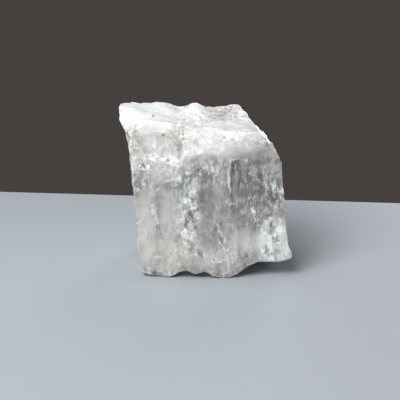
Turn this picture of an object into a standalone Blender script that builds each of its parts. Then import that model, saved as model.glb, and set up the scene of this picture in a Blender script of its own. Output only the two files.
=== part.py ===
"""Rough petalite: one natural broken block of translucent white crystal.

The block is what is left between cleavage and fracture surfaces. Each surface is a plane that waves,
chips and steps a little, and the stone is the space inside all of them. Its upper left corner has broken
away, so the outline is the union of a high block at the right and a lower one at the left. The stone
stands on the small flat spots where its underside is worn level. X runs to the right, Y to the back and
Z up, and the origin is on the resting plane under the middle of the block.
"""

import bmesh
import bpy
import numpy as np

MM = 0.001

# Driving sizes, in millimetres.
WIDTH = 42.2
DEPTH = 29.0
HEIGHT = 39.0
CORE = np.array([0.0, 0.0, 18.0])  # a point deep inside, from which every surface can be seen
GRID = 0.44  # spacing of the fine grid that the surface is shaped on
TRIANGLES = 9200  # what the finished solid keeps of it
EDGE = 0.20  # how softly two surfaces run into each other, which blunts the edge between them
SCOOP_DEPTH = 0.45  # how far the front's scoop, seam and pane stand back, and its corner block stands out
SEAM_DEPTH = 0.60
PANE_DEPTH = 0.80
CORNER_PROUD = 0.55
LIP_PROUD = 1.1  # how far the upper left corner flares out
WORN = 0.06  # how much is worn off the lowest points, which leaves small true flats
RESTING = ((-10.0, -11.0), (4.6, -11.6), (-10.0, 7.2), (8.6, 6.0))  # middles of the spots worn level
SEED = 7

# The surfaces that bound the stone: where each looks, a point on it, how far its waves and its chips
# stand proud, and how long the chips are along X, Y and Z. All lengths are in millimetres.
SURFACES = {
    "left_cleavage": ((-1.00, -0.10, -0.08), (-15.5, -13.0, 1.0), 0.15, 0.35, (3.5, 4.0, 6.0)),
    "left_bevel": ((-0.80, -0.55, 0.16), (-18.3, -9.0, 32.0), 0.15, 0.30, (3.0, 3.0, 3.5)),
    "top_break": ((0.07, -0.12, 1.00), (0.0, 5.0, 36.8), 0.35, 0.70, (4.5, 4.0, 4.0)),
    "front_left": ((-0.10, -1.00, 0.03), (-8.0, -12.8, 12.0), 0.20, 0.45, (4.5, 4.0, 7.5)),
    "front_right": ((0.09, -1.00, 0.05), (6.0, -12.6, 14.0), 0.15, 0.45, (2.2, 4.0, 9.0)),
    "front_shoulder": ((0.05, -0.80, 0.60), (5.0, -11.7, 31.0), 0.25, 0.55, (3.5, 3.0, 3.0)),
    "right_cleavage": ((1.00, 0.00, 0.10), (19.7, -12.8, 9.4), 0.15, 0.45, (3.0, 2.6, 8.0)),
    "right_shoulder": ((0.90, 0.10, 0.38), (17.3, -12.2, 29.8), 0.15, 0.40, (3.0, 3.0, 4.5)),
    "right_slope": ((0.76, 0.12, 0.64), (12.4, -0.5, 35.2), 0.20, 0.50, (3.5, 3.5, 3.0)),
    "back_break": ((0.06, 1.00, 0.12), (0.0, 13.6, 15.0), 0.40, 0.80, (5.0, 4.0, 6.0)),
    "back_right": ((0.72, 0.68, -0.06), (14.8, 8.6, 15.0), 0.25, 0.60, (3.5, 3.5, 6.0)),
    "back_left": ((-0.55, 0.83, 0.05), (-16.2, 9.6, 18.0), 0.25, 0.60, (3.5, 3.5, 5.0)),
    "back_top": ((-0.04, 0.74, 0.66), (0.0, 13.0, 36.0), 0.30, 0.70, (4.0, 3.5, 3.5)),
    "under_left": ((-0.50, -0.30, -1.00), (-13.6, -11.6, 0.0), 0.20, 0.60, (3.5, 3.5, 3.0)),
    "under_right": ((0.30, -0.20, -1.00), (7.6, -11.8, 0.0), 0.20, 0.60, (4.0, 4.0, 3.0)),
    "under_back": ((0.05, 0.34, -1.00), (0.0, 8.6, 0.0), 0.20, 0.60, (4.0, 4.0, 3.0)),
    "resting_spots": ((0.00, 0.00, -1.00), (0.0, 0.0, 0.0), 0.0, 0.0, (4.0, 4.0, 4.0)),
}
# What cuts only the lower block at the left, and only the high block at the right.
LEFT_BLOCK = {
    "left_slope": ((-0.03, -0.69, 0.72), (-10.0, -3.6, 36.7), 0.35, 0.85, (4.5, 4.0, 3.5)),
}
RIGHT_BLOCK = {
    "ledge_side": ((-0.92, -0.39, 0.34), (-4.9, -10.5, 33.5), 0.25, 0.50, (3.5, 3.5, 3.0)),
    "front_slope": ((0.03, -0.48, 0.88), (5.0, -7.5, 34.1), 0.35, 0.65, (4.0, 3.5, 3.5)),
}


def lattice_values(cell, salt):
    """A repeatable number from -1 to 1 for each whole-number cell, by mixing its three indices."""
    mixed = cell[..., 0] * 73856093 ^ cell[..., 1] * 19349663 ^ cell[..., 2] * 83492791
    mixed = (mixed ^ (salt * 2654435761)) & 0xFFFFFFFF
    mixed = ((mixed ^ (mixed >> 15)) * 0x2C1B3C6D) & 0xFFFFFFFF
    mixed = ((mixed ^ (mixed >> 12)) * 0x297A2D39) & 0xFFFFFFFF
    return (mixed ^ (mixed >> 15)) / 0x7FFFFFFF - 1.0


def waves(points, salt):
    """Smooth noise: values at the corners of unit cells, eased from corner to corner."""
    low = np.floor(points).astype(np.int64)
    part = points - low
    ease = part**3 * (part * (part * 6.0 - 15.0) + 10.0)
    total = np.zeros(len(points))
    for corner in np.ndindex(2, 2, 2):
        share = np.where(corner, ease, 1.0 - ease).prod(axis=1)
        total += share * lattice_values(low + corner, salt)
    return total


def chips(points, salt, bowl=0.45):
    """Broken facets: shallow tilted bowls round scattered centres, each point taking the lowest of them.

    Where two bowls meet they leave a sharp ridge, as neighbouring flakes do in broken crystal.
    """
    low = np.floor(points).astype(np.int64)
    height = np.full(len(points), np.inf)
    for step in np.ndindex(3, 3, 3):
        cell = low + step - 1
        centre = cell + 0.5 + 0.45 * np.stack([lattice_values(cell, salt + k) for k in (1, 2, 3)], axis=1)
        away = points - centre
        tilt = 0.6 * np.stack([lattice_values(cell, salt + k) for k in (4, 5, 6)], axis=1)
        bowl_height = bowl * (away**2).sum(axis=1) + (away * tilt).sum(axis=1)
        height = np.minimum(height, bowl_height + 0.25 * lattice_values(cell, salt + 7))
    return height


def ramp(value, low, high):
    """0 below low and 1 above high, eased between them."""
    t = np.clip((value - low) / (high - low), 0.0, 1.0)
    return t * t * (3.0 - 2.0 * t)


def hump(value, middle, half_width):
    """1 at the middle, falling away like a bell on both sides."""
    return np.exp(-(((value - middle) / half_width) ** 2))


def front_ledges(p):
    """How far the front stands back of its planes, in millimetres.

    A scoop with an arched upper lip, a crushed seam, a tall pane with a straight left edge, and a corner
    block at the lower right that stands proud.
    """
    x, z = p[:, 0], p[:, 2]
    lip = 24.2 - 0.07 * (x + 7.6) ** 2
    scoop = ramp(lip - z, -0.1, 0.5) * ramp(x, -12.2, -11.4) * ramp(-5.0 - x, 0.0, 0.8) * ramp(z, 2.0, 14.0)
    seam = hump(x, -3.6 + 0.10 * (20.0 - z), 1.3) * ramp(z, 6.0, 11.0) * ramp(26.5 - z, 0.0, 3.0)
    pane_edge = 5.7 + 0.25 * np.sin(z * 0.5)
    pane_top = 28.9 + 0.9 * waves(p / np.array([2.6, 9.0, 9.0]), 34)
    pane = ramp(x, pane_edge, pane_edge + 0.6) * ramp(pane_top - z, 0.0, 0.8) * ramp(z, 13.0, 22.0)
    pane = pane * (1.0 - 0.6 * ramp(x, 9.0, 14.0))
    ragged = 0.7 * waves(p / 2.2, 35)
    corner = ramp(x + ragged, 14.6, 15.4) * ramp(11.6 - z + ragged, 0.0, 0.8)
    return SCOOP_DEPTH * scoop + SEAM_DEPTH * seam + PANE_DEPTH * pane - CORNER_PROUD * corner


def left_lip(p):
    """How far the left end stands out where the top corner flares into a lip."""
    return LIP_PROUD * ramp(p[:, 2], 33.5, 36.0)


def top_bumps(p):
    """How far the back of the top rises and dips along its edge, with a notch where the two blocks meet."""
    x = p[:, 0]
    rises = 0.5 * hump(x, -12.0, 2.6) + 0.6 * hump(x, -2.8, 2.0) + 1.4 * hump(x, 7.6, 3.8)
    dips = 0.5 * hump(x, -7.0, 1.7) + 0.3 * hump(x, 1.2, 1.2)
    corner = 1.3 * ramp(-x, 13.0, 18.0) * ramp(p[:, 1], -3.0, 2.0)
    return (rises - dips) * ramp(p[:, 1], 3.0, 9.0) + corner


def right_notch(p):
    """How far the sloping right end is bitten back, above a small ledge."""
    return 0.45 * ramp(p[:, 2], 32.4, 33.4) * ramp(36.4 - p[:, 2], 0.0, 2.0)


def right_foot(p):
    """How far the right end steps out at mid height and above its foot."""
    z = p[:, 2] + 0.8 * waves(p / 2.6, 33)
    middle = ramp(18.5 - z, 0.0, 1.2) - ramp(15.6 - z, 0.0, 0.8)
    return 0.35 * middle * ramp(-p[:, 1], 4.0, 9.0) + 0.6 * ramp(8.2 - z, 0.0, 1.6)


def broken_layers(p):
    """How far the sides and the back are broken into upright ledges and large facets, in millimetres.

    Along the way round the stone, bent by smooth noise, the depth grows evenly and drops back at each
    ledge. Broken facets of about 8 mm cross the ledges.
    """
    bend = 0.9 * waves(p / np.array([8.0, 8.0, 12.0]), 31) + 0.30 * waves(p / 3.0, 32)
    value = (0.8 * p[:, 0] + p[:, 1]) / 6.5 + bend
    share = value - np.floor(value)
    ledges = np.minimum(share / 0.90, (1.0 - share) / 0.10)
    facets = chips(p / np.array([8.0, 8.0, 10.0]), 30)
    return (0.85 * ledges - 1.3 * facets) * ramp(p[:, 1], -9.5, -6.0)


def underside_hollows(p):
    """How far the underside is hollowed between the spots that it stands on."""
    x, y = p[:, 0], p[:, 1]
    arch = (1.5 * hump(x, -5.2, 2.2) + 1.3 * hump(x, -0.4, 1.5)) * ramp(-y, 2.0, 10.0)
    right = 1.6 * hump(x, 12.8, 3.2) * ramp(6.0 - y, 0.0, 6.0)
    middle = 1.3 * hump(np.hypot(x + 3.0, 1.6 * (y + 1.0)), 0.0, 6.5)
    rough = 0.5 + 0.5 * chips(p / 4.0, SEED)
    worn = sum(hump(np.hypot(x - spot_x, y - spot_y), 0.0, 2.6) for spot_x, spot_y in RESTING)
    return np.maximum(arch + right + middle + rough, 0.0) * (1.0 - np.minimum(1.3 * worn, 1.0))


def moved_plane(name, p, distance, wave, flake, lengths, salt):
    """A bounding plane's distance from the core at each place, with its waves, chips and ledges.

    Each large chip carries smaller ones, half as long.
    """
    at = p / np.array(lengths)
    broken = chips(at, salt) + 0.4 * chips(2.0 * at + 0.3, salt + 9)
    moved = distance + wave * waves(p / 7.0, salt) + flake * broken
    if name in ("front_left", "front_right"):
        moved = moved - front_ledges(p)
    if name in ("left_cleavage", "left_bevel"):
        moved = moved + left_lip(p)
    if name in ("top_break", "back_top"):
        moved = moved + top_bumps(p)
    if name == "right_slope":
        moved = moved - right_notch(p)
    if name == "right_cleavage":
        moved = moved + right_foot(p)
    if name in ("left_cleavage", "right_cleavage", "back_break", "back_left", "back_right"):
        moved = moved - broken_layers(p)
    if name in ("resting_spots", "under_right"):
        moved = moved - underside_hollows(p)
    return moved


def inside_all(directions, surfaces, start=None):
    """Distance from the core, along each direction, to the nearest of the surfaces, eased at the edges.

    With no start the planes are bare. With a start, the places where the surfaces are looked up, each
    plane has its waves, chips and ledges there.
    """
    closeness = np.zeros(len(directions))
    for number, (name, (looks, point, wave, flake, lengths)) in enumerate(surfaces.items()):
        normal = np.array(looks) / np.linalg.norm(looks)
        facing = directions @ normal
        ahead = facing > 1e-3
        distance = (np.array(point) - CORE) @ normal
        if start is None:
            found = distance / facing[ahead]
        else:
            salt = SEED + 20 * number + 400 * len(surfaces)
            p = start[ahead]
            found = moved_plane(name, p, distance, wave, flake, lengths, salt) / facing[ahead]
        closeness[ahead] += np.exp(-found / EDGE)
    with np.errstate(divide="ignore"):
        return -EDGE * np.log(closeness)


def radii(directions):
    """Distance from the core to the surface along each direction.

    Inside all the common surfaces and inside either block's own ones: first with bare planes, to find the
    place, and then with the planes as they are there.
    """
    start = None
    for _ in range(2):
        common = inside_all(directions, SURFACES, start)
        left = inside_all(directions, LEFT_BLOCK, start)
        right = inside_all(directions, RIGHT_BLOCK, start)
        reach = np.minimum(common, np.maximum(left, right))
        start = CORE + directions * reach[:, None]
    return reach


def shaping_block(name):
    """A box of the stone's size, cut into even squares on every side."""
    mesh = bpy.data.meshes.new(name)
    block = bmesh.new()
    bmesh.ops.create_cube(block, size=1.0)
    for axis, size in enumerate((WIDTH, DEPTH, HEIGHT)):
        along = [edge for edge in block.edges if abs(edge.verts[0].co[axis] - edge.verts[1].co[axis]) > 0.5]
        bmesh.ops.subdivide_edges(block, edges=along, cuts=round(size / GRID) - 1, use_grid_fill=True)
    bmesh.ops.scale(block, vec=(WIDTH, DEPTH, HEIGHT), verts=block.verts)
    block.to_mesh(mesh)
    block.free()
    return mesh


def crystal_material():
    """Colourless to milky white crystal with a glassy lustre."""
    material = bpy.data.materials.new("petalite")
    material.use_nodes = True
    shader = material.node_tree.nodes["Principled BSDF"]
    shader.inputs["Base Color"].default_value = (0.80, 0.82, 0.80, 1.0)
    shader.inputs["Roughness"].default_value = 0.25
    shader.inputs["Metallic"].default_value = 0.0
    return material


def petalite():
    """The stone: the block's points moved out or in to the radii, then thinned to a faceted solid."""
    mesh = shaping_block("petalite")
    corners = np.empty(len(mesh.vertices) * 3)
    mesh.vertices.foreach_get("co", corners)
    corners = corners.reshape(-1, 3)
    directions = corners / np.linalg.norm(corners, axis=1)[:, None]
    points = CORE + directions * radii(directions)[:, None]
    low, high = points.min(axis=0), points.max(axis=0)
    points -= np.array([(low[0] + high[0]) / 2, (low[1] + high[1]) / 2, low[2] + WORN])
    points[:, 2] = np.maximum(points[:, 2], 0.0)
    mesh.vertices.foreach_set("co", (points * MM).ravel())
    mesh.update()
    mesh.materials.append(crystal_material())
    stone = bpy.data.objects.new("petalite", mesh)
    thin = stone.modifiers.new("thin", "DECIMATE")
    thin.ratio = TRIANGLES / (2 * len(mesh.polygons))
    return stone


def main():
    for old in list(bpy.data.objects):
        bpy.data.objects.remove(old)
    collection = bpy.data.collections.new("rough_petalite")
    bpy.context.scene.collection.children.link(collection)
    collection.objects.link(petalite())


main()
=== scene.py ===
import math

import bpy
import numpy as np
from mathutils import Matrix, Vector


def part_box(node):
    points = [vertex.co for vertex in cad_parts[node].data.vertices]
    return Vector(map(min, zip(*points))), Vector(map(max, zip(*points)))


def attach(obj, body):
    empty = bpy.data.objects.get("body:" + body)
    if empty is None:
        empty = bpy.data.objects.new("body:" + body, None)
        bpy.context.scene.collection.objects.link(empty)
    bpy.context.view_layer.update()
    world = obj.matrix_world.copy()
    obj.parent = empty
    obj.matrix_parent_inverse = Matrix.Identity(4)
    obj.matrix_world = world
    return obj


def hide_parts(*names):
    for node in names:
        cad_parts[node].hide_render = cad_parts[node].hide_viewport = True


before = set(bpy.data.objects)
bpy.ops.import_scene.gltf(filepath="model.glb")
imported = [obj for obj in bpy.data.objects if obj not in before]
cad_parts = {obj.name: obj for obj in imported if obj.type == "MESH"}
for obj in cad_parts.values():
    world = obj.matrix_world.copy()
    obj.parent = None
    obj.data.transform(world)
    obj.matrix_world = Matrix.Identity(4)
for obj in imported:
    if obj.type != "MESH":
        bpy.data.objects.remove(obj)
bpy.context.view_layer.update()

MM = 0.001

# The stone: one broken block of petalite, a lithium mineral that is glassy and colourless inside and turns
# milky white wherever it is bruised, crushed or split by fine cleavage cracks. It is as it came out of the
# ground, so it has flat cleavage faces with steps, hollow chips with sharp ridges, and crumbly white seams.

STONE_SIZE = np.array([42.2, 29.0, 39.0])  # the box whose net is spread over the stone, along X, Y and Z
CORE = np.array([0.0, 0.0, 18.0])  # a point deep inside, from which every surface can be seen
CELL = 0.295  # spacing of the net's points
EDGE = 0.12  # how softly two surfaces run into each other
SCOOP_DEPTH = 0.45  # how far the front's scoop, seam and pane stand back, and its corner block stands out
SEAM_DEPTH = 0.60
PANE_DEPTH = 0.60
CORNER_PROUD = 0.55
LIP_PROUD = 1.1  # how far the upper left corner flares out
WORN = 0.06  # how much is worn off the lowest points, which leaves small true flats
RESTING = ((-10.0, -11.0), (4.6, -11.6), (-10.0, 7.2), (8.6, 6.0))  # middles of the spots worn level
SEED = 7

# Where each bounding surface looks, a point on it, how far its waves and chips stand proud, and how long
# the chips are along X, Y and Z, all in millimetres.
SURFACES = {
    "left_cleavage": ((-1.00, -0.10, -0.08), (-15.5, -13.0, 1.0), 0.15, 0.35, (3.5, 4.0, 6.0)),
    "left_bevel": ((-0.80, -0.55, 0.16), (-18.3, -9.0, 32.0), 0.15, 0.30, (3.0, 3.0, 3.5)),
    "top_break": ((0.07, -0.12, 1.00), (0.0, 5.0, 36.8), 0.35, 0.70, (4.5, 4.0, 4.0)),
    "front_left": ((-0.10, -1.00, 0.03), (-8.0, -12.8, 12.0), 0.20, 0.45, (4.5, 4.0, 7.5)),
    "front_right": ((0.09, -1.00, 0.05), (6.0, -12.6, 14.0), 0.15, 0.45, (2.2, 4.0, 9.0)),
    "front_shoulder": ((0.05, -0.80, 0.60), (5.0, -11.7, 31.0), 0.25, 0.55, (3.5, 3.0, 3.0)),
    "right_cleavage": ((1.00, 0.00, 0.10), (19.7, -12.8, 9.4), 0.15, 0.45, (3.0, 2.6, 8.0)),
    "right_shoulder": ((0.90, 0.10, 0.38), (17.3, -12.2, 29.8), 0.15, 0.40, (3.0, 3.0, 4.5)),
    "right_slope": ((0.76, 0.12, 0.64), (12.4, -0.5, 35.2), 0.20, 0.50, (3.5, 3.5, 3.0)),
    "back_break": ((0.06, 1.00, 0.12), (0.0, 13.6, 15.0), 0.40, 0.80, (5.0, 4.0, 6.0)),
    "back_right": ((0.72, 0.68, -0.06), (14.8, 8.6, 15.0), 0.25, 0.60, (3.5, 3.5, 6.0)),
    "back_left": ((-0.55, 0.83, 0.05), (-16.2, 9.6, 18.0), 0.25, 0.60, (3.5, 3.5, 5.0)),
    "back_top": ((-0.04, 0.74, 0.66), (0.0, 13.0, 36.0), 0.30, 0.70, (4.0, 3.5, 3.5)),
    "under_left": ((-0.50, -0.30, -1.00), (-13.6, -11.6, 0.0), 0.20, 0.60, (3.5, 3.5, 3.0)),
    "under_right": ((0.30, -0.20, -1.00), (7.6, -11.8, 0.0), 0.20, 0.60, (4.0, 4.0, 3.0)),
    "under_back": ((0.05, 0.34, -1.00), (0.0, 8.6, 0.0), 0.20, 0.60, (4.0, 4.0, 3.0)),
    "resting_spots": ((0.00, 0.00, -1.00), (0.0, 0.0, 0.0), 0.0, 0.0, (4.0, 4.0, 4.0)),
}
# What cuts only the lower block at the left, and only the high block at the right.
LEFT_BLOCK = {
    "left_slope": ((-0.03, -0.69, 0.72), (-10.0, -3.6, 36.7), 0.35, 0.85, (4.5, 4.0, 3.5)),
}
RIGHT_BLOCK = {
    "ledge_side": ((-0.92, -0.39, 0.34), (-4.9, -10.5, 33.5), 0.25, 0.50, (3.5, 3.5, 3.0)),
    "front_slope": ((0.03, -0.48, 0.88), (5.0, -7.5, 34.1), 0.35, 0.65, (4.0, 3.5, 3.5)),
}


def lattice_values(cell, salt):
    """A repeatable number from -1 to 1 for each whole-number cell, by mixing its three indices."""
    mixed = cell[..., 0] * 73856093 ^ cell[..., 1] * 19349663 ^ cell[..., 2] * 83492791
    mixed = (mixed ^ (salt * 2654435761)) & 0xFFFFFFFF
    mixed = ((mixed ^ (mixed >> 15)) * 0x2C1B3C6D) & 0xFFFFFFFF
    mixed = ((mixed ^ (mixed >> 12)) * 0x297A2D39) & 0xFFFFFFFF
    return (mixed ^ (mixed >> 15)) / 0x7FFFFFFF - 1.0


def waves(points, salt):
    """Smooth noise: values at the corners of unit cells, eased from corner to corner."""
    low = np.floor(points).astype(np.int64)
    part = points - low
    ease = part**3 * (part * (part * 6.0 - 15.0) + 10.0)
    total = np.zeros(len(points))
    for corner in np.ndindex(2, 2, 2):
        share = np.where(corner, ease, 1.0 - ease).prod(axis=1)
        total += share * lattice_values(low + corner, salt)
    return total


def chips_and_tones(points, salt, bowl=0.45):
    """Broken facets: shallow tilted bowls round scattered centres, each point taking the lowest of them.

    Where two bowls meet they leave a sharp ridge, as neighbouring flakes do in broken crystal. Each facet
    also has a tone of its own, from -1 to 1.
    """
    low = np.floor(points).astype(np.int64)
    height, tone = np.full(len(points), np.inf), np.zeros(len(points))
    for step in np.ndindex(3, 3, 3):
        cell = low + step - 1
        centre = cell + 0.5 + 0.45 * np.stack([lattice_values(cell, salt + k) for k in (1, 2, 3)], axis=1)
        away = points - centre
        tilt = 0.6 * np.stack([lattice_values(cell, salt + k) for k in (4, 5, 6)], axis=1)
        bowl_height = bowl * (away**2).sum(axis=1) + (away * tilt).sum(axis=1)
        bowl_height += 0.25 * lattice_values(cell, salt + 7)
        tone = np.where(bowl_height < height, lattice_values(cell, salt + 8), tone)
        height = np.minimum(height, bowl_height)
    return height, tone


def chips(points, salt):
    """The facets' height alone."""
    return chips_and_tones(points, salt)[0]


def ramp(value, low, high):
    """0 below low and 1 above high, eased between them."""
    t = np.clip((value - low) / (high - low), 0.0, 1.0)
    return t * t * (3.0 - 2.0 * t)


def hump(value, middle, half_width):
    """1 at the middle, falling away like a bell on both sides."""
    return np.exp(-(((value - middle) / half_width) ** 2))


def front_ledges(p):
    """How far the front stands back of its planes, in millimetres.

    A scoop with an arched upper lip, a crushed seam, a tall pane with a straight left edge, and a corner
    block at the lower right that stands proud.
    """
    x, z = p[:, 0], p[:, 2]
    lip = 24.2 - 0.07 * (x + 7.6) ** 2
    scoop = ramp(lip - z, -0.1, 0.5) * ramp(x, -12.2, -11.4) * ramp(-5.0 - x, 0.0, 0.8) * ramp(z, 2.0, 14.0)
    seam = hump(x, -3.6 + 0.10 * (20.0 - z), 1.3) * ramp(z, 6.0, 11.0) * ramp(26.5 - z, 0.0, 3.0)
    pane_edge = 5.7 + 0.25 * np.sin(z * 0.5)
    pane_top = 28.9 + 0.9 * waves(p / np.array([2.6, 9.0, 9.0]), 34)
    pane = ramp(x, pane_edge - 0.2, pane_edge + 1.1) * ramp(pane_top - z, 0.0, 0.8) * ramp(z, 13.0, 22.0)
    pane = pane * (1.0 - 0.6 * ramp(x, 9.0, 14.0))
    ragged = 0.7 * waves(p / 2.2, 35)
    corner = ramp(x + ragged, 14.6, 15.4) * ramp(11.6 - z + ragged, 0.0, 0.8)
    return SCOOP_DEPTH * scoop + SEAM_DEPTH * seam + PANE_DEPTH * pane - CORNER_PROUD * corner


def left_lip(p):
    """How far the left end stands out where the top corner flares into a lip."""
    return LIP_PROUD * ramp(p[:, 2], 33.5, 36.0)


def top_bumps(p):
    """How far the back of the top rises and dips along its edge, with a notch where the two blocks meet.

    It also rises towards the left end.
    """
    x = p[:, 0]
    rises = 0.5 * hump(x, -12.0, 2.6) + 0.6 * hump(x, -2.8, 2.0) + 1.4 * hump(x, 7.6, 3.8)
    dips = 0.5 * hump(x, -7.0, 1.7) + 0.3 * hump(x, 1.2, 1.2)
    corner = 1.3 * ramp(-x, 13.0, 18.0) * ramp(p[:, 1], -3.0, 2.0)
    return (rises - dips) * ramp(p[:, 1], 3.0, 9.0) + corner


def right_notch(p):
    """How far the sloping right end is bitten back, above a small ledge."""
    return 0.45 * ramp(p[:, 2], 32.4, 33.4) * ramp(36.4 - p[:, 2], 0.0, 2.0)


def right_foot(p):
    """How far the right end steps out at mid height and above its foot."""
    z = p[:, 2] + 0.8 * waves(p / 2.6, 33)
    middle = ramp(18.5 - z, 0.0, 1.2) - ramp(15.6 - z, 0.0, 0.8)
    return 0.35 * middle * ramp(-p[:, 1], 4.0, 9.0) + 0.6 * ramp(8.2 - z, 0.0, 1.6)


def broken_layers(p):
    """How far the sides and the back are broken into upright ledges and large facets, in millimetres.

    Along the way round the stone, bent by smooth noise, the depth grows evenly and drops back at each
    ledge. Broken facets of about 8 mm cross the ledges.
    """
    bend = 0.9 * waves(p / np.array([8.0, 8.0, 12.0]), 31) + 0.30 * waves(p / 3.0, 32)
    value = (0.8 * p[:, 0] + p[:, 1]) / 6.5 + bend
    share = value - np.floor(value)
    ledges = np.minimum(share / 0.90, (1.0 - share) / 0.10)
    facets = chips(p / np.array([8.0, 8.0, 10.0]), 30)
    return (0.85 * ledges - 1.3 * facets) * ramp(p[:, 1], -9.5, -6.0)


def underside_hollows(p):
    """How far the underside is hollowed between the spots that it stands on."""
    x, y = p[:, 0], p[:, 1]
    arch = (1.5 * hump(x, -5.2, 2.2) + 1.3 * hump(x, -0.4, 1.5)) * ramp(-y, 2.0, 10.0)
    right = 1.6 * hump(x, 12.8, 3.2) * ramp(6.0 - y, 0.0, 6.0)
    middle = 1.3 * hump(np.hypot(x + 3.0, 1.6 * (y + 1.0)), 0.0, 6.5)
    rough = 0.5 + 0.5 * chips(p / 4.0, SEED)
    worn = sum(hump(np.hypot(x - spot_x, y - spot_y), 0.0, 2.6) for spot_x, spot_y in RESTING)
    return np.maximum(arch + right + middle + rough, 0.0) * (1.0 - np.minimum(1.3 * worn, 1.0))


def moved_plane(name, p, distance, wave, flake, lengths, salt):
    """A bounding plane's distance from the core at each place, with its waves, chips and ledges.

    Each large chip carries smaller ones, half as long.
    """
    at = p / np.array(lengths)
    broken = chips(at, salt) + 0.4 * chips(2.0 * at + 0.3, salt + 9)
    moved = distance + wave * waves(p / 7.0, salt) + flake * broken
    if name in ("front_left", "front_right"):
        moved = moved - front_ledges(p)
    if name in ("left_cleavage", "left_bevel"):
        moved = moved + left_lip(p)
    if name in ("top_break", "back_top"):
        moved = moved + top_bumps(p)
    if name == "right_slope":
        moved = moved - right_notch(p)
    if name == "right_cleavage":
        moved = moved + right_foot(p)
    if name in ("left_cleavage", "right_cleavage", "back_break", "back_left", "back_right"):
        moved = moved - broken_layers(p)
    if name in ("resting_spots", "under_right"):
        moved = moved - underside_hollows(p)
    return moved


def inside_all(directions, surfaces, start=None):
    """Distance from the core, along each direction, to the nearest of the surfaces, eased at the edges.

    With no start the planes are bare. With a start, the places where the surfaces are looked up, each
    plane that comes within 4 mm of its place has its waves, chips and ledges there. The others are left out.
    """
    closeness = np.zeros(len(directions))
    for number, (name, (looks, point, wave, flake, lengths)) in enumerate(surfaces.items()):
        normal = np.array(looks) / np.linalg.norm(looks)
        facing = directions @ normal
        distance = (np.array(point) - CORE) @ normal
        ahead = facing > 1e-3
        if start is not None:
            reach = np.linalg.norm(start - CORE, axis=1)
            ahead &= distance - facing * reach < 4.0
        found = distance / facing[ahead]
        if start is not None:
            salt = SEED + 20 * number + 400 * len(surfaces)
            found = moved_plane(name, start[ahead], distance, wave, flake, lengths, salt) / facing[ahead]
        closeness[ahead] += np.exp(-found / EDGE)
    with np.errstate(divide="ignore"):
        return -EDGE * np.log(closeness)


def broken_block(directions):
    """The stone's large form: from the core, along each direction, to the nearest bounding surface.

    A place is inside all the common surfaces and inside either block's own ones. The first pass takes bare
    planes, to find the place, and the second takes the planes as they are there.
    """
    start = None
    for _ in range(2):
        common = inside_all(directions, SURFACES, start)
        left = inside_all(directions, LEFT_BLOCK, start)
        right = inside_all(directions, RIGHT_BLOCK, start)
        reach = np.minimum(common, np.maximum(left, right))
        start = CORE + directions * reach[:, None]
    return start


def block_net(size, cell):
    """A box's surface as a closed net of squares: directions from its middle, and faces that look outwards.

    Each side is a grid of two parameters, in millimetres along the side. The sides share their edge points,
    which are found by giving every place on the box a whole-number key.
    """
    cells = np.round(size / cell).astype(int)
    keys = []
    for axis in range(3):
        a, b = (axis + 1) % 3, (axis + 2) % 3
        for level in (0, cells[axis]):
            i, j = np.meshgrid(np.arange(cells[a] + 1), np.arange(cells[b] + 1), indexing="ij")
            place = np.empty(i.shape + (3,), dtype=np.int64)
            place[..., axis], place[..., a], place[..., b] = level, i, j
            key = (place[..., 0] * 1000 + place[..., 1]) * 1000 + place[..., 2]
            square = np.stack([key[:-1, :-1], key[1:, :-1], key[1:, 1:], key[:-1, 1:]], axis=-1)
            keys.append(square.reshape(-1, 4)[:, :: 1 if level else -1])
    unique, faces = np.unique(np.concatenate(keys), return_inverse=True)
    places = np.stack([unique // 1000000, unique // 1000 % 1000, unique % 1000], axis=1)
    corners = (places / cells - 0.5) * size
    return corners / np.linalg.norm(corners, axis=1)[:, None], faces.reshape(-1, 4)


def corner_normals(points, faces):
    """The outward direction at each point: the sum of its squares' diagonals' cross products, made unit."""
    across = points[faces[:, 2]] - points[faces[:, 0]]
    other = points[faces[:, 3]] - points[faces[:, 1]]
    square_normal = np.cross(across, other)
    total = np.zeros_like(points)
    for k in range(4):
        np.add.at(total, faces[:, k], square_normal)
    return total / np.linalg.norm(total, axis=1)[:, None]


def evened(values, faces, rounds):
    """Values averaged with those of the squares around each point, the given number of times."""
    count = np.bincount(faces.ravel(), minlength=len(values))
    for _ in range(rounds):
        middle = values[faces].mean(axis=1)
        total = sum(np.bincount(faces[:, k], middle, len(values)) for k in range(4))
        values = total / count
    return values


def patch(p, middle, half_size):
    """1 in the middle of an ellipsoid, easing to 0 somewhat past its half sizes."""
    away = (p - np.array(middle)) / np.array(half_size)
    return np.exp(-((away**2).sum(axis=1) ** 1.5))


def near_line(p, start, end, radius):
    """1 on the straight line between two points, easing to 0 somewhat past the radius."""
    start, along = np.array(start), np.array(end) - np.array(start)
    share = np.clip((p - start) @ along / (along @ along), 0.0, 1.0)
    away = p - start - share[:, None] * along
    return np.exp(-(((away**2).sum(axis=1) / radius**2) ** 1.5))


FRONT = -12.8  # the depth that streaks on the front are drawn at
FRONT_BEGINS = -9.8  # what lies before this is the front


def on_front(p):
    """The same places, all brought to one depth where they lie on the front, whichever way it steps."""
    brought = p.copy()
    brought[:, 1] = np.where(p[:, 1] < FRONT_BEGINS, FRONT, p[:, 1])
    return brought


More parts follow.
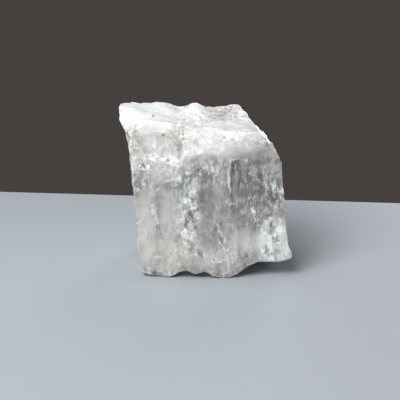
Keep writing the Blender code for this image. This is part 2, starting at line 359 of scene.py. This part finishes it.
# Where the stone is crushed to white crumbs: the two ends of each streak and its radius, in millimetres, and
# how strongly. Streaks on the front lie at the depth FRONT, or within 0.2 mm of it.
CRUSHED = (
    ((-12.6, -12.8, 29.6), (-5.6, -12.8, 28.4), 1.2, 0.31),
    ((-15.2, -12.8, 27.6), (-12.8, -12.8, 27.2), 0.9, 0.65),
    ((-5.6, -12.8, 22.0), (-4.9, -12.8, 11.2), 1.0, 1.0),
    ((-4.8, -12.8, 25.6), (-5.4, -12.8, 23.0), 0.6, 0.9),
    ((-2.8, -12.8, 17.0), (-2.2, -12.8, 15.4), 0.7, 1.0),
    ((-3.4, -12.8, 19.4), (-2.2, -12.8, 22.4), 0.5, 0.9),
    ((-2.2, -12.8, 22.4), (0.4, -12.8, 23.2), 0.5, 0.9),
    ((-17.1, -12.6, 15.8), (-16.4, -12.6, 14.0), 0.6, 0.9),
    ((-12.9, -12.8, 18.0), (-11.2, -12.8, 12.0), 0.5, 0.8),
    ((5.2, -12.8, 19.2), (5.9, -12.8, 18.2), 0.7, 1.0),
    ((16.2, -12.8, 13.0), (16.9, -12.8, 9.4), 0.9, 1.0),
    ((13.6, -12.8, 11.6), (15.6, -12.8, 11.2), 0.6, 0.9),
    ((14.2, -12.8, 7.6), (15.4, -12.8, 5.6), 0.9, 0.9),
    ((-2.2, -12.8, 6.2), (-0.8, -12.8, 6.0), 0.8, 0.9),
    ((-11.9, -12.8, 5.6), (-10.8, -12.8, 4.6), 0.7, 0.7),
    ((2.0, -12.8, 4.6), (7.6, -12.8, 3.6), 0.8, 0.40),
    ((13.0, -9.5, 33.4), (16.6, -8.6, 30.6), 1.0, 0.7),
    ((-7.0, -3.0, 35.8), (-5.0, -10.0, 32.6), 0.9, 0.6),
)


def crushed_places(p):
    """How crushed the stone is at each place, from 0 to 1, with ragged borders."""
    ragged = 0.45 * waves(p / 1.3, 91) + 0.30 * waves(p / 0.6, 92)
    flat = on_front(p)
    streaks = [weight * near_line(flat, start, end, radius) for start, end, radius, weight in CRUSHED]
    reach = np.max(streaks, axis=0)
    return ramp(reach + ragged * np.minimum(2.0 * reach, 1.0), 0.30, 0.65)


def mapped(p, places):
    """The sum of all patches in a list, each with its own weight."""
    return sum(weight * patch(p, middle, half_size) for middle, half_size, weight in places)


MIDDLING_BREAK = 0.35  # how rough the break is where nothing makes it rougher or smoother, from 0 to 1
# Where the break is rough or smooth: middle and half sizes in millimetres, and how much rougher than the
# middling break around it. A smooth place takes some away.
BROKEN = (
    ((3.0, -11.5, 31.0), (10.0, 3.0, 2.2), -0.30),
    ((-14.5, -12.8, 12.0), (3.2, 3.0, 9.0), -0.30),
    ((-8.6, -12.8, 15.0), (2.6, 3.0, 7.5), -0.30),
    ((-9.0, -12.8, 5.0), (7.0, 3.0, 3.6), -0.15),
    ((-15.6, -12.8, 24.2), (3.0, 3.0, 3.6), 0.42),
    ((-3.8, -12.8, 17.0), (2.0, 3.0, 9.0), 0.55),
    ((0.4, -12.8, 25.4), (4.0, 3.0, 2.4), 0.35),
    ((9.4, -12.8, 24.0), (4.2, 3.0, 4.6), 0.45),
    ((14.6, -12.4, 19.5), (4.6, 3.0, 8.0), 0.50),
    ((9.4, -12.8, 9.2), (4.6, 3.0, 3.6), -0.40),
    ((15.4, -12.8, 9.0), (2.6, 3.0, 4.6), -0.06),
    ((2.6, -12.8, 6.0), (5.5, 3.0, 4.4), -0.06),
    ((-9.0, -11.5, 29.4), (7.0, 3.0, 2.4), -0.05),
    ((-10.0, -7.5, 33.0), (8.0, 4.5, 3.4), -0.32),
    ((4.5, 4.0, 37.0), (5.0, 8.0, 2.5), 0.20),
    ((-12.0, 4.0, 37.5), (9.0, 10.0, 3.0), -0.28),
    ((9.0, -5.0, 35.0), (9.0, 6.0, 3.0), -0.22),
)


def away_from_front(p):
    """1 on the sides and the back, easing to 0 at the front and at the top."""
    return ramp(p[:, 1], -10.0, -7.0) * ramp(34.0 - p[:, 2], 0.0, 3.0)


def broken_places(p):
    """How rough the break is at each place, from 0 to 1."""
    foot = 0.30 * ramp(2.6 - p[:, 2], 0.0, 1.6)
    level = MIDDLING_BREAK + 0.22 * waves(p / 6.0, 93) + 0.30 * away_from_front(p) + foot
    return np.clip(level + mapped(p, BROKEN), 0.05, 1.0)


def steps(value, sharpness=0.86):
    """Turns a smooth value into a stair with level treads and short steep risers."""
    whole = np.floor(value)
    return whole + ramp(value - whole, sharpness, 1.0)


def fine_breaks(p, crushed, broken):
    """How far small chips, cleavage steps, striations and crumbs raise the large form, in millimetres.

    Below 0 they cut into it.
    Chips of about 1.6 mm and half that lie everywhere, deepest where the break is rough. The front has level
    treads, and upright ribs at its right. The sides and the back have flakes of about 3.4 mm and 1 mm.
    Crushed places have crumbs of about 1 mm in their stead.
    """
    small = 0.48 * chips(p / np.array([1.6, 1.6, 2.2]), 41) + 0.20 * chips(p / 0.8, 42)
    front = ramp(-p[:, 1], 9.5, 11.5)
    treads = 0.16 * steps(1.6 * waves(p / np.array([3.2, 9.0, 8.0]), 43)) * front
    striated = front * ramp(p[:, 0], 4.0, 12.0) * ramp(p[:, 2], 8.0, 16.0)
    long_ribs = 0.40 * chips(p / np.array([1.1, 2.5, 6.5]), 44)
    short_ribs = 0.20 * chips(p / np.array([0.7, 2.0, 3.0]), 47)
    ribs = striated * (long_ribs + short_ribs)
    crumbs = 0.40 * chips(p / 1.3, 45) + 0.26 * chips(p / 0.7, 46)
    large_flakes = 0.55 * chips(p / np.array([3.4, 3.4, 4.6]), 49)
    small_flakes = 0.26 * chips(p / np.array([1.0, 1.0, 1.5]), 50)
    flakes = (large_flakes + small_flakes) * away_from_front(p)
    whole = broken * small + (0.3 + 0.7 * broken) * (treads + ribs) + flakes
    return (1.0 - crushed) * whole + crushed * (crumbs - 0.15)


def stone_mesh(name):
    """The stone's closed surface, and how milky, broken, crushed, stained and specked it is at each point.

    Its points are brought exactly into the CAD solid's box, and its lowest ones are worn level.
    """
    directions, faces = block_net(STONE_SIZE, CELL)
    points = broken_block(directions)
    crushed, broken = crushed_places(points), broken_places(points)
    tones = facet_tones(points)
    points += corner_normals(points, faces) * fine_breaks(points, crushed, broken)[:, None]
    values = {
        "milk": milkiness(points, faces, crushed, broken, tones),
        "broken": np.maximum(1.4 * crushed, broken),
        "crushed": crushed,
        "stain": stains(points),
        "speck": specks(points),
    }
    low, high = points.min(axis=0), points.max(axis=0)
    low[2] += WORN
    cad_low, cad_high = (np.array(corner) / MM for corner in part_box("petalite"))
    points = (points - low) * (cad_high - cad_low) / (high - low) + cad_low
    points[:, 2] = np.maximum(points[:, 2], cad_low[2])
    mesh = bpy.data.meshes.new(name)
    mesh.from_pydata(points * MM, [], faces.tolist())
    mesh.polygons.foreach_set("use_smooth", np.ones(len(faces), dtype=bool))
    mesh.set_sharp_from_angle(angle=math.radians(20.0))
    for label, value in values.items():
        mesh.attributes.new(label, "FLOAT", "POINT").data.foreach_set("value", value.astype(np.float32))
    return mesh


MIDDLING_MILK = 0.35  # how milky the stone is where nothing makes it milkier or clearer, from 0 to 1
TOP_MILK_AND_PAINTED_LIGHT = 0.54  # how much milkier than that the top is: partly its own milk from bruising, partly painted light from above
SIDE_MILK = 0.24  # and the sides and the back
CRUSHED_MILK = 0.25  # and the crushed places
# Where the stone is milky and where it is clear: middle and half sizes in millimetres, and how much milk
# each place adds to the middling stone around it. A clear window takes some away.
MILK = (
    ((4.2, 5.0, 37.5), (3.6, 6.5, 2.5), -0.30),
    ((-10.0, -7.5, 33.0), (8.0, 5.0, 4.0), 0.12),
    ((-9.0, -12.0, 28.8), (7.0, 3.0, 2.6), 0.22),
    ((-7.4, -6.8, 33.2), (3.2, 3.6, 2.6), 0.17),
    ((8.0, -6.0, 34.5), (8.0, 6.0, 4.0), -0.14),
    ((-4.4, -8.5, 32.6), (3.8, 3.4, 2.6), -0.36),
    ((-5.2, -5.2, 35.0), (3.6, 2.6, 1.8), -0.26),
    ((13.7, -9.5, 32.2), (2.8, 3.0, 1.8), -0.24),
    ((-15.9, -8.3, 32.0), (1.8, 2.5, 1.7), -0.26),
    ((9.7, -6.3, 34.6), (2.0, 1.8, 1.6), 0.18),
    ((4.0, -11.8, 30.2), (2.2, 2.0, 1.4), 0.15),
    ((-16.4, -12.2, 27.9), (2.4, 2.5, 1.6), 0.34),
    ((-16.9, -12.8, 26.0), (0.9, 2.0, 1.3), -0.22),
    ((-4.8, -12.8, 24.4), (1.3, 2.0, 1.6), 0.46),
    ((1.2, -12.8, 27.2), (1.8, 2.0, 1.8), 0.26),
    ((-1.6, -12.8, 19.4), (1.4, 3.0, 2.8), -0.32),
    ((-13.2, -12.8, 21.4), (1.4, 2.0, 1.6), 0.14),
    ((-11.0, -12.8, 26.2), (7.0, 2.4, 2.4), 0.20),
    ((-4.2, -12.8, 16.5), (2.2, 3.0, 8.0), 0.42),
    ((-14.5, -12.8, 13.0), (3.2, 3.0, 8.0), 0.30),
    ((-8.6, -12.8, 15.0), (3.0, 3.0, 8.0), 0.21),
    ((-0.3, -12.8, 25.9), (2.2, 2.0, 1.3), -0.10),
    ((-8.2, -12.6, 22.4), (2.8, 2.0, 1.0), -0.22),
    ((17.0, -12.8, 8.0), (3.4, 3.5, 3.6), 0.20),
    ((1.3, -12.8, 17.0), (3.4, 3.0, 7.0), -0.02),
    ((9.3, -12.8, 24.0), (3.8, 3.0, 4.6), -0.30),
    ((7.3, -12.8, 25.2), (1.8, 3.0, 3.4), -0.34),
    ((8.0, -12.8, 16.5), (4.0, 3.0, 3.0), -0.10),
    ((14.6, -12.8, 20.0), (3.0, 3.0, 7.0), -0.05),
    ((12.4, -12.8, 22.0), (1.4, 3.0, 4.0), 0.14),
    ((15.2, -12.6, 18.2), (1.6, 3.0, 1.8), 0.16),
    ((12.4, -12.8, 11.2), (1.7, 3.0, 3.2), -0.32),
    ((9.0, -12.8, 9.2), (4.4, 3.0, 3.4), 0.36),
    ((15.6, -12.8, 9.4), (3.2, 3.0, 5.0), 1.0),
    ((18.6, -12.4, 8.6), (2.2, 3.0, 6.0), 0.54),
    ((-9.0, -12.8, 5.0), (8.0, 3.0, 4.0), 0.20),
    ((3.0, -12.8, 5.0), (5.0, 3.0, 3.0), 0.28),
)
# Thin white veins, and one clear crack: the ends and radius of each in millimetres, and how much milk it
# adds. All are on the front, at the depth FRONT.
VEINS = (
    ((-11.6, -12.8, 21.6), (-10.6, -12.8, 23.0), 0.24, 0.45),
    ((-10.6, -12.8, 23.0), (-8.8, -12.8, 24.2), 0.24, 0.45),
    ((-8.8, -12.8, 24.2), (-4.6, -12.8, 24.9), 0.24, 0.45),
    ((5.50, -12.8, 28.8), (5.75, -12.8, 21.2), 0.34, 1.15),
    ((5.8, -12.8, 29.3), (9.6, -12.8, 29.0), 0.25, 0.5),
    ((10.3, -12.8, 19.6), (11.5, -12.8, 16.4), 0.24, 0.5),
    ((2.2, -12.8, 13.9), (4.6, -12.8, 9.4), 0.25, 0.4),
    ((2.9, -12.8, 9.9), (5.1, -12.8, 6.9), 0.25, 0.4),
    ((15.8, -12.8, 22.0), (16.0, -12.8, 19.4), 0.25, 0.4),
    ((-4.4, -12.8, 16.9), (-2.3, -12.8, 12.4), 0.35, -0.5),
)


def milky_and_painted_lit_top(p):
    """1 on the top, easing to 0 down the brow at the right and at the front edge at the left.

    The top's whiteness is partly its own milk, from bruising, and partly painted light from above. The height
    at which the brow turns clear rises slowly to the right.
    """
    x, z = p[:, 0], p[:, 2]
    brow_height = 30.2 + 0.145 * (x + 5.8)
    brow = ramp(z - brow_height, -4.4, 4.0) * ramp(x, -6.5, -4.5)
    return np.maximum(brow, ramp(z, 33.4, 37.0) * ramp(-x, 3.0, 6.0))


def facet_tones(p):
    """How much milkier or clearer each facet is than those around it, because each lies in another layer."""
    bent = p + 0.5 * waves(p / 1.5, 67)[:, None]
    small = chips_and_tones(bent / np.array([1.6, 1.6, 2.4]), 41)[1]
    large = chips_and_tones(bent / np.array([2.6, 2.6, 5.0]), 48)[1]
    return 0.11 * small + 0.08 * large


def ridge_milk_and_hollow_shade(p, faces):
    """How much whiter the ridges are, from bruising, and how much clearer the cracks between them are. The
    clearer cracks are painted shade: the stone turns clearer, and so darker, in the hollows where shade would
    fall.

    A point that stands out from the average of its neighbours is on a ridge.
    """
    middle = np.stack([evened(p[:, k], faces, 2) for k in range(3)], axis=1)
    ridge = evened(((p - middle) * corner_normals(p, faces)).sum(axis=1), faces, 1)
    # Ridges are whiter from bruising; the clearer hollows between them are painted shade.
    return (ramp(ridge, 0.01, 0.07) - 0.5 * ramp(-ridge, 0.01, 0.07)) * (0.24 + 0.18 * waves(p / 0.9, 64))


def milkiness(p, faces, crushed, broken, tones):
    """From 0, clear crystal, to 1, opaque white.

    What the top, the sides, the crushed places, the milky places, the veins and the ridges have is added to
    the middling level. The top's share is partly its own milk and partly painted light from above. Ridges
    are whiter from bruising, and the cracks between them clearer, which is painted shade. Clouds and the
    facets' own tones vary it, most where the break is rough. On the sides and the back the tones and the
    ridges are stronger, and broad clouds of about 5.5 mm make clear windows.
    """
    away, top = away_from_front(p), milky_and_painted_lit_top(p)
    bent = on_front(p) + 0.35 * waves(p / 1.1, 65)[:, None] * np.array([1.0, 0.0, 1.0])
    healed = 0.35 + 0.65 * ramp(waves(p / 0.8, 68) + 0.6 * waves(p / 2.0, 69), -0.55, 0.25)
    veins = healed * sum(weight * near_line(bent, start, end, radius) for start, end, radius, weight in VEINS)
    # The top's share is partly its own milk and partly painted light from above.
    level = MIDDLING_MILK + TOP_MILK_AND_PAINTED_LIGHT * top + SIDE_MILK * away + mapped(p, MILK) + veins
    clouds = 0.07 * waves(p / 3.0, 61) + 0.11 * waves(p / 0.9, 62) + 0.60 * waves(p / 5.5, 66) * away
    uneven = (0.35 + 0.65 * broken) * (1.0 - 0.8 * top) * (clouds + tones * (1.0 + 0.6 * away))
    # Bruising whitens the ridges; the clearer hollows between them are painted shade.
    ridge_milk_and_painted_hollow_shade = ridge_milk_and_hollow_shade(p, faces) * (1.0 + 0.9 * away)
    return np.clip(level + uneven + CRUSHED_MILK * crushed + ridge_milk_and_painted_hollow_shade, 0.0, 1.0)


# Where iron has stained the stone cream: the ends and radius of each streak in millimetres, and how strongly.
STAINED = (
    ((-18.4, -3.5, 36.4), (-18.2, -5.5, 34.6), 1.3, 0.75),
    ((-18.2, -5.5, 34.6), (-17.7, -9.0, 31.4), 1.3, 0.70),
    ((-9.0, -6.0, 34.3), (-5.4, -7.6, 32.8), 1.3, 0.40),
    ((-5.0, -10.5, 29.6), (-1.0, -11.8, 28.6), 1.2, 0.20),
    ((-13.0, -12.8, 8.0), (-5.0, -12.8, 4.5), 4.5, 0.28),
)
# Where dark mineral grains lie in the surface, in the same way.
SPECKLED = (
    ((-17.2, -3.4, 37.3), (-17.0, -7.6, 33.3), 0.9, 1.5),
    ((-17.9, -7.5, 32.6), (-17.5, -9.4, 30.8), 0.6, 0.6),
    ((-10.9, -6.0, 33.6), (-6.6, -7.2, 33.0), 0.6, 0.35),
    ((0.6, 11.0, 37.0), (3.2, -1.0, 36.6), 1.4, 0.7),
    ((4.2, 13.0, 37.2), (8.4, 8.0, 37.2), 1.2, 0.8),
)
# Where larger single grains lie, and how far each reaches.
LARGE_GRAINS = (
    (-12.9, -0.1, 37.0),
    (-10.2, -6.3, 34.0),
    (-7.4, -6.5, 33.8),
    (0.0, 9.5, 37.2),
    (16.1, -11.8, 13.0),
)
GRAIN_REACH = (0.5, 0.5, 0.5)


def stains(p):
    """How stained the stone is at each place, from 0 to 1."""
    patchy = 0.8 + 0.6 * waves(p / 1.5, 71)
    total = sum(weight * near_line(p, start, end, radius) for start, end, radius, weight in STAINED)
    return np.clip(patchy * total, 0.0, 1.0)


def specks(p):
    """How thickly dark mineral grains lie, from 0 to 1 where they are scattered, and more on single ones."""
    scattered = sum(weight * near_line(p, start, end, radius) for start, end, radius, weight in SPECKLED)
    speckled = scattered * (0.55 + 0.5 * waves(p / 1.4, 73))
    single = sum(patch(p, place, GRAIN_REACH) for place in LARGE_GRAINS)
    return np.clip(speckled, 0.0, 1.0) + 2.0 * single


def linear(hex_colour):
    """An sRGB hex colour as the linear red, green, blue and opacity that shaders take."""
    parts = [int(hex_colour[k : k + 2], 16) / 255 for k in (1, 3, 5)]
    return [c / 12.92 if c <= 0.04045 else ((c + 0.055) / 1.055) ** 2.4 for c in parts] + [1.0]


def node(material, kind, settings=(), **links):
    """Adds a node. Settings are its properties, or its sockets by name or number; links are its inputs."""
    made = material.node_tree.nodes.new(kind)
    for key, value in dict(settings).items():
        if isinstance(key, str) and hasattr(made, key):
            setattr(made, key, value)
        else:
            made.inputs[key].default_value = value
    for key, source in links.items():
        place = int(key[1:]) if key[1:].isdigit() else key.replace("_", " ")
        material.node_tree.links.new(source, made.inputs[place])
    return made


CLEAR_COLOUR = "#d9d8d3"  # the stone where it is clear, milky, stained by iron, and a dark mineral grain
MILK_COLOUR = "#eaeef0"
STAIN_COLOUR = "#dfd6c8"
SPECK_COLOUR = "#55504a"
HAZE_COLOUR = "#ebebe4"  # what is left of white light inside, at HAZE per metre
HAZE = 14.0
PETALITE_INDEX = 1.51
# How many cells or waves of each pattern fit in a metre, worked out from its real size.
GRAINS = 1400.0  # cleavage grains of about 0.7 mm
GRAIN_BENDS = 1600.0  # what bends their borders, by up to 0.3 mm to either side
WISPS = 1300.0  # wisps of fine cracks, about 0.8 mm apart
THREADS = 420.0  # healed cracks, about 2.4 mm apart
CRUMBS = 1100.0  # white crumbs of about 0.5 mm, about 0.9 mm apart
DOTS = 1900.0  # dark grains of about 0.3 mm, about 0.5 mm apart
PITS = 3000.0  # pits of about 0.3 mm


def petalite_material():
    """Raw petalite, split and broken.

    Vitreous on cleavage faces, so clear parts are seen through with sharp glints, and milky where cracks
    scatter the light. A Map Range node's inputs 1 to 4 are the lowest and the highest value that come in
    and what they turn into. A Mix node's inputs 6 and 7 are its two colours.
    """
    material = bpy.data.materials.new("petalite, raw broken crystal")
    material.use_nodes = True
    tree = material.node_tree
    shader = tree.nodes["Principled BSDF"]
    add, subtract, multiply = ({"operation": name} for name in ("ADD", "SUBTRACT", "MULTIPLY"))
    place = node(material, "ShaderNodeTexCoord").outputs["Object"]
    milk, broken, crushed, stain, speck = (
        node(material, "ShaderNodeAttribute", {"attribute_name": label}).outputs["Fac"]
        for label in ("milk", "broken", "crushed", "stain", "speck")
    )
    # Cleavage makes fine grains, a little upright, each with its own share of milk.
    upright = node(
        material, "ShaderNodeMapping", {"vector_type": "POINT", "Scale": (1.0, 1.0, 0.6)}, Vector=place
    ).outputs["Vector"]
    bends = node(material, "ShaderNodeTexNoise", {"Scale": GRAIN_BENDS, "Detail": 2.0}, Vector=place)
    bent = node(
        material,
        "ShaderNodeVectorMath",
        {"operation": "MULTIPLY_ADD", 1: (0.0006, 0.0006, 0.0006)},
        _0=bends.outputs["Color"],
        _2=upright,
    ).outputs["Vector"]
    grains = node(material, "ShaderNodeTexVoronoi", {"feature": "F1", "Scale": GRAINS}, Vector=bent)
    share = node(material, "ShaderNodeSeparateColor", {}, Color=grains.outputs["Color"]).outputs["Red"]
    # Wisps of fine cracks are whiter and pores between them clearer, both crisp at their borders.
    wisps = node(
        material,
        "ShaderNodeTexNoise",
        {"Scale": WISPS, "Detail": 5.0, "Roughness": 0.7, "Distortion": 1.0},
        Vector=upright,
    ).outputs["Fac"]
    cracked = node(
        material, "ShaderNodeMapRange", {1: 0.54, 2: 0.66, 3: 0.0, 4: 0.34}, _0=wisps
    ).outputs["Result"]
    pores = node(
        material, "ShaderNodeMapRange", {1: 0.46, 2: 0.34, 3: 0.0, 4: -0.24}, _0=wisps
    ).outputs["Result"]
    # Threads of healed cracks, drawn out upright and broken up by the wisps, lie where a noise passes one
    # value. Fine open cracks, which are clear, lie where it passes another.
    drawn_out = node(
        material, "ShaderNodeMapping", {"vector_type": "POINT", "Scale": (1.0, 1.0, 0.35)}, Vector=place
    ).outputs["Vector"]
    field = node(
        material,
        "ShaderNodeTexNoise",
        {"Scale": THREADS, "Detail": 3.0, "Roughness": 0.6, "Distortion": 0.8},
        Vector=drawn_out,
    ).outputs["Fac"]
    healed_away, open_away = (
        node(
            material,
            "ShaderNodeMath",
            {"operation": "ABSOLUTE"},
            _0=node(material, "ShaderNodeMath", {**subtract, 1: passed}, _0=field).outputs["Value"],
        ).outputs["Value"]
        for passed in (0.5, 0.43)
    )
    healed = node(
        material, "ShaderNodeMapRange", {1: 0.0, 2: 0.02, 3: 1.0, 4: 0.0}, _0=healed_away
    ).outputs["Result"]
    kept = node(
        material, "ShaderNodeMapRange", {1: 0.42, 2: 0.58, 3: 0.0, 4: 0.75}, _0=wisps
    ).outputs["Result"]
    threads = node(material, "ShaderNodeMath", multiply, _0=healed, _1=kept).outputs["Value"]
    open_cracks = node(
        material, "ShaderNodeMapRange", {1: 0.0, 2: 0.014, 3: -0.4, 4: 0.0}, _0=open_away
    ).outputs["Result"]
    grained = node(
        material, "ShaderNodeMath", {"operation": "MULTIPLY_ADD", 1: 0.20}, _0=share, _2=threads
    ).outputs["Value"]
    clearer = node(material, "ShaderNodeMath", add, _0=open_cracks, _1=pores).outputs["Value"]
    cracks = node(material, "ShaderNodeMath", add, _0=cracked, _1=clearer).outputs["Value"]
    uneven = node(material, "ShaderNodeMath", add, _0=grained, _1=cracks).outputs["Value"]
    centred = node(material, "ShaderNodeMath", {**subtract, 1: 0.10}, _0=uneven).outputs["Value"]
    # White crumbs lie in the crushed places.
    heaps = node(material, "ShaderNodeTexVoronoi", {"feature": "F1", "Scale": CRUMBS}, Vector=place)
    crumb = node(
        material, "ShaderNodeMapRange", {1: 0.24, 2: 0.42, 3: 0.70, 4: 0.0}, _0=heaps.outputs["Distance"]
    ).outputs["Result"]
    crumbled = node(
        material, "ShaderNodeMath", {"operation": "MULTIPLY_ADD"}, _0=crumb, _1=crushed, _2=milk
    ).outputs["Value"]
    cloudy = node(
        material,
        "ShaderNodeMath",
        {"operation": "MULTIPLY_ADD", "use_clamp": True},
        _0=centred,
        _1=broken,
        _2=crumbled,
    ).outputs["Value"]
    pale = node(
        material,
        "ShaderNodeMix",
        {"data_type": "RGBA", 6: linear(CLEAR_COLOUR), 7: linear(MILK_COLOUR)},
        _0=cloudy,
    ).outputs[2]
    stained = node(
        material, "ShaderNodeMix", {"data_type": "RGBA", 7: linear(STAIN_COLOUR)}, _0=stain, _6=pale
    ).outputs[2]
    # A scattered dark grain shows where its own number is below the share of grains, and a single one where
    # that share goes past 1.
    dots = node(material, "ShaderNodeTexVoronoi", {"feature": "F1", "Scale": DOTS}, Vector=place)
    number = node(material, "ShaderNodeSeparateColor", {}, Color=dots.outputs["Color"]).outputs["Green"]
    present = node(
        material, "ShaderNodeMath", {"operation": "GREATER_THAN"}, _0=speck, _1=number
    ).outputs["Value"]
    dot = node(
        material, "ShaderNodeMapRange", {1: 0.26, 2: 0.42, 3: 0.9, 4: 0.0}, _0=dots.outputs["Distance"]
    ).outputs["Result"]
    scattered = node(material, "ShaderNodeMath", multiply, _0=present, _1=dot).outputs["Value"]
    single = node(
        material, "ShaderNodeMapRange", {1: 1.1, 2: 1.7, 3: 0.0, 4: 0.85}, _0=speck
    ).outputs["Result"]
    grain_share = node(
        material, "ShaderNodeMath", {"operation": "MAXIMUM"}, _0=scattered, _1=single
    ).outputs["Value"]
    specked = node(
        material, "ShaderNodeMix", {"data_type": "RGBA", 7: linear(SPECK_COLOUR)}, _0=grain_share, _6=stained
    ).outputs[2]
    tree.links.new(specked, shader.inputs["Base Color"])
    # Clear stone lets most light through and is glossy. Milky stone lets little through and is duller.
    clear = node(material, "ShaderNodeMapRange", {1: 0.1, 2: 0.9, 3: 0.88, 4: 0.04}, _0=cloudy)
    tree.links.new(clear.outputs["Result"], shader.inputs["Transmission Weight"])
    dull = node(material, "ShaderNodeMapRange", {1: 0.0, 2: 1.0, 3: 0.05, 4: 0.30}, _0=cloudy)
    tree.links.new(dull.outputs["Result"], shader.inputs["Roughness"])
    shader.inputs["IOR"].default_value = PETALITE_INDEX
    shader.inputs["Subsurface Weight"].default_value = 0.35
    shader.inputs["Subsurface Radius"].default_value = (1.0, 1.05, 1.0)
    shader.inputs["Subsurface Scale"].default_value = 0.002
    # Each grain is also a small facet with its own tilt.
    tilt = node(
        material, "ShaderNodeVectorMath", {**subtract, 1: (0.5, 0.5, 0.5)}, _0=grains.outputs["Color"]
    ).outputs["Vector"]
    from_middle = node(
        material, "ShaderNodeVectorMath", subtract, _0=bent, _1=grains.outputs["Position"]
    ).outputs["Vector"]
    facet = node(
        material, "ShaderNodeVectorMath", {"operation": "DOT_PRODUCT"}, _0=tilt, _1=from_middle
    ).outputs["Value"]
    facets = node(material, "ShaderNodeBump", {"Distance": 2.0}, Height=facet, Strength=broken)
    # Pits roughen every break, and the most broken places most.
    pitted = node(
        material, "ShaderNodeTexNoise", {"Scale": PITS, "Detail": 3.0, "Roughness": 0.7}, Vector=place
    ).outputs["Fac"]
    strength = node(material, "ShaderNodeMapRange", {1: 0.0, 2: 1.0, 3: 0.15, 4: 0.9}, _0=broken)
    bump = node(
        material,
        "ShaderNodeBump",
        {"Distance": 0.00005},
        Height=pitted,
        Strength=strength.outputs["Result"],
        Normal=facets.outputs["Normal"],
    )
    tree.links.new(bump.outputs["Normal"], shader.inputs["Normal"])
    haze = node(material, "ShaderNodeVolumeAbsorption", {"Color": linear(HAZE_COLOUR), "Density": HAZE})
    tree.links.new(haze.outputs["Volume"], tree.nodes["Material Output"].inputs["Volume"])
    return material


stone = bpy.data.objects.new("petalite_stone", stone_mesh("petalite_stone"))
bpy.context.scene.collection.objects.link(stone)
stone.data.materials.append(petalite_material())
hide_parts("petalite")
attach(stone, "root")

# The table: a plain pale blue-grey top with its far edge a little way behind the stone, before a dark
# room. It is only there to stand the stone on.

TABLE_COLOUR = "#a1a8b1"
TABLE_EDGE = 53.0  # where its far edge is behind the stone's middle
TABLE_TURN = 0.0984  # how far that edge comes forward for each millimetre to the right
TABLE_REACH = 600.0  # how far it runs to the left, the right and the front


def table_material():
    """Matt laminate, printed plain: even and slightly cool, with no gloss that would mirror the stone."""
    material = bpy.data.materials.new("laminate, matt pale grey")
    material.use_nodes = True
    shader = material.node_tree.nodes["Principled BSDF"]
    shader.inputs["Base Color"].default_value = linear(TABLE_COLOUR)
    shader.inputs["Roughness"].default_value = 0.7
    return material


left_edge, right_edge = TABLE_EDGE + TABLE_TURN * TABLE_REACH, TABLE_EDGE - TABLE_TURN * TABLE_REACH
table_corners = np.array(
    [
        (-TABLE_REACH, -TABLE_REACH, 0.0),
        (TABLE_REACH, -TABLE_REACH, 0.0),
        (TABLE_REACH, right_edge, 0.0),
        (-TABLE_REACH, left_edge, 0.0),
    ]
)
table_mesh = bpy.data.meshes.new("table")
table_mesh.from_pydata(table_corners * MM, [], [(0, 1, 2, 3)])
table_mesh.materials.append(table_material())
table = bpy.data.objects.new("table", table_mesh)
bpy.context.scene.collection.objects.link(table)

# The light: a weak soft panel above the stone, the main one high at the front left, and a low one behind
# at the right, which lights the back. The room behind is dark and faintly warm.

ROOM_COLOUR = "#46413e"
PANELS = (
    # name, place and aim in millimetres, width in metres, power in watts, colour
    ("softbox", (-55.0, 10.0, 240.0), (0.0, -10.0, 20.0), 0.13, 0.18, "#fcfdff"),
    ("fill", (-175.0, -230.0, 315.0), (0.0, 0.0, 20.0), 0.24, 2.20, "#fffdf9"),
    ("rear", (170.0, 310.0, 50.0), (0.0, 0.0, 20.0), 0.16, 0.70, "#ffffff"),
)
for name, place, aim, width, power, colour in PANELS:
    panel = bpy.data.objects.new(name, bpy.data.lights.new(name, "AREA"))
    panel.data.shape = "SQUARE"
    panel.data.size = width
    panel.data.energy = power
    panel.data.color = linear(colour)[:3]
    panel.location = Vector(place) * MM
    panel.rotation_euler = (Vector(aim) - Vector(place)).to_track_quat("-Z", "Y").to_euler()
    bpy.context.scene.collection.objects.link(panel)

room = bpy.data.worlds.new("dark room")
room.use_nodes = True
room.node_tree.nodes["Background"].inputs["Color"].default_value = linear(ROOM_COLOUR)
bpy.context.scene.world = room

# The camera: a long lens, as in a close product photograph, looking down on the stone from the front.

CAMERA_RISE = 17.0  # degrees above the table
CAMERA_AWAY = 250.0  # millimetres from what it looks at
CAMERA_AIM = (-1.22, 0.0, 15.45)
back = Vector((0.0, -math.cos(math.radians(CAMERA_RISE)), math.sin(math.radians(CAMERA_RISE))))
camera = bpy.data.objects.new("camera", bpy.data.cameras.new("camera"))
camera.location = (Vector(CAMERA_AIM) + back * CAMERA_AWAY) * MM
camera.rotation_euler = (-back).to_track_quat("-Z", "Y").to_euler()
camera.data.sensor_width = 36.0
camera.data.lens = 90.0
camera.data.clip_start = 0.001
bpy.context.scene.collection.objects.link(camera)
bpy.context.scene.camera = camera
bpy.context.scene.view_settings.view_transform = "Standard"
